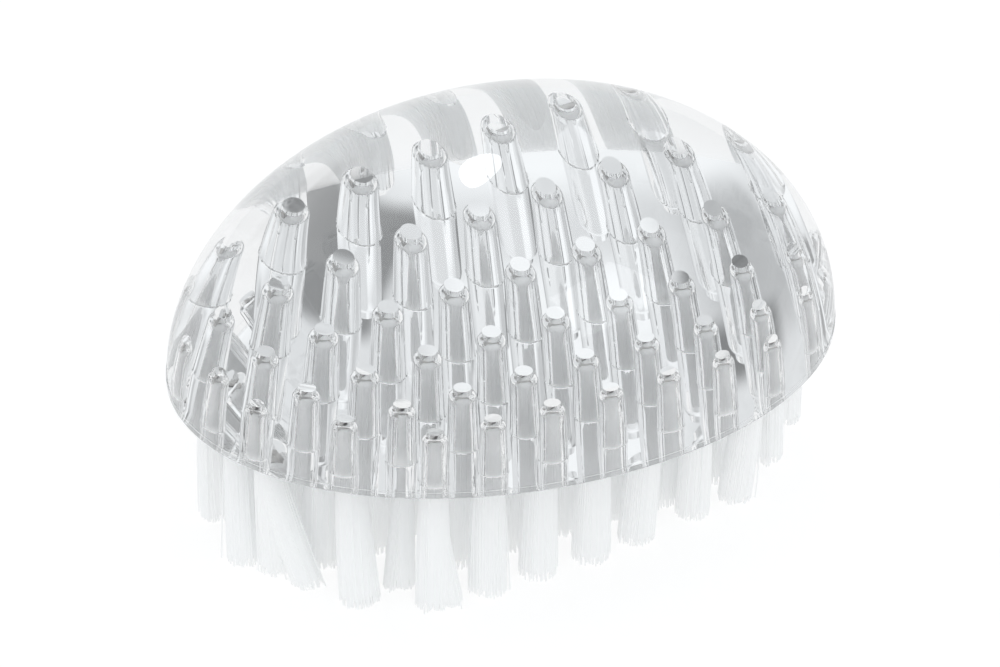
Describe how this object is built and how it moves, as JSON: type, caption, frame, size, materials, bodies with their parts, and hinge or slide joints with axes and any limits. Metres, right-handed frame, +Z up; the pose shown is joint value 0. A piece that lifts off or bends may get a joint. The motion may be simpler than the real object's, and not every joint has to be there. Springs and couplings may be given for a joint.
{
  "type": "nail brush",
  "caption": "Clear domed nail brush, an oval half-egg handle with straight rows of short white nylon bristle tufts set in its flat underside.",
  "frame": {"origin": "in the plane of the bristle tips, below the middle of the dome", "axes": "+X along the dome's long way, +Y across it towards the back, +Z up"},
  "size_m": [0.086, 0.0652, 0.0496],
  "materials": {
    "clear_plastic": "clear, colourless, polished",
    "nylon_bristle": "translucent white nylon filaments",
    "anchor_metal": "plain flat wire"
  },
  "bodies": {
    "root": {"dome": "clear_plastic", "tuft_row_1": "nylon_bristle", "tuft_row_2": "nylon_bristle", "tuft_row_3": "nylon_bristle", "tuft_row_4": "nylon_bristle", "tuft_row_5": "nylon_bristle", "tuft_row_6": "nylon_bristle", "tuft_row_7": "nylon_bristle", "anchor_row_1": "anchor_metal", "anchor_row_2": "anchor_metal", "anchor_row_3": "anchor_metal", "anchor_row_4": "anchor_metal", "anchor_row_5": "anchor_metal", "anchor_row_6": "anchor_metal", "anchor_row_7": "anchor_metal"}
  },
  "joints": []
}
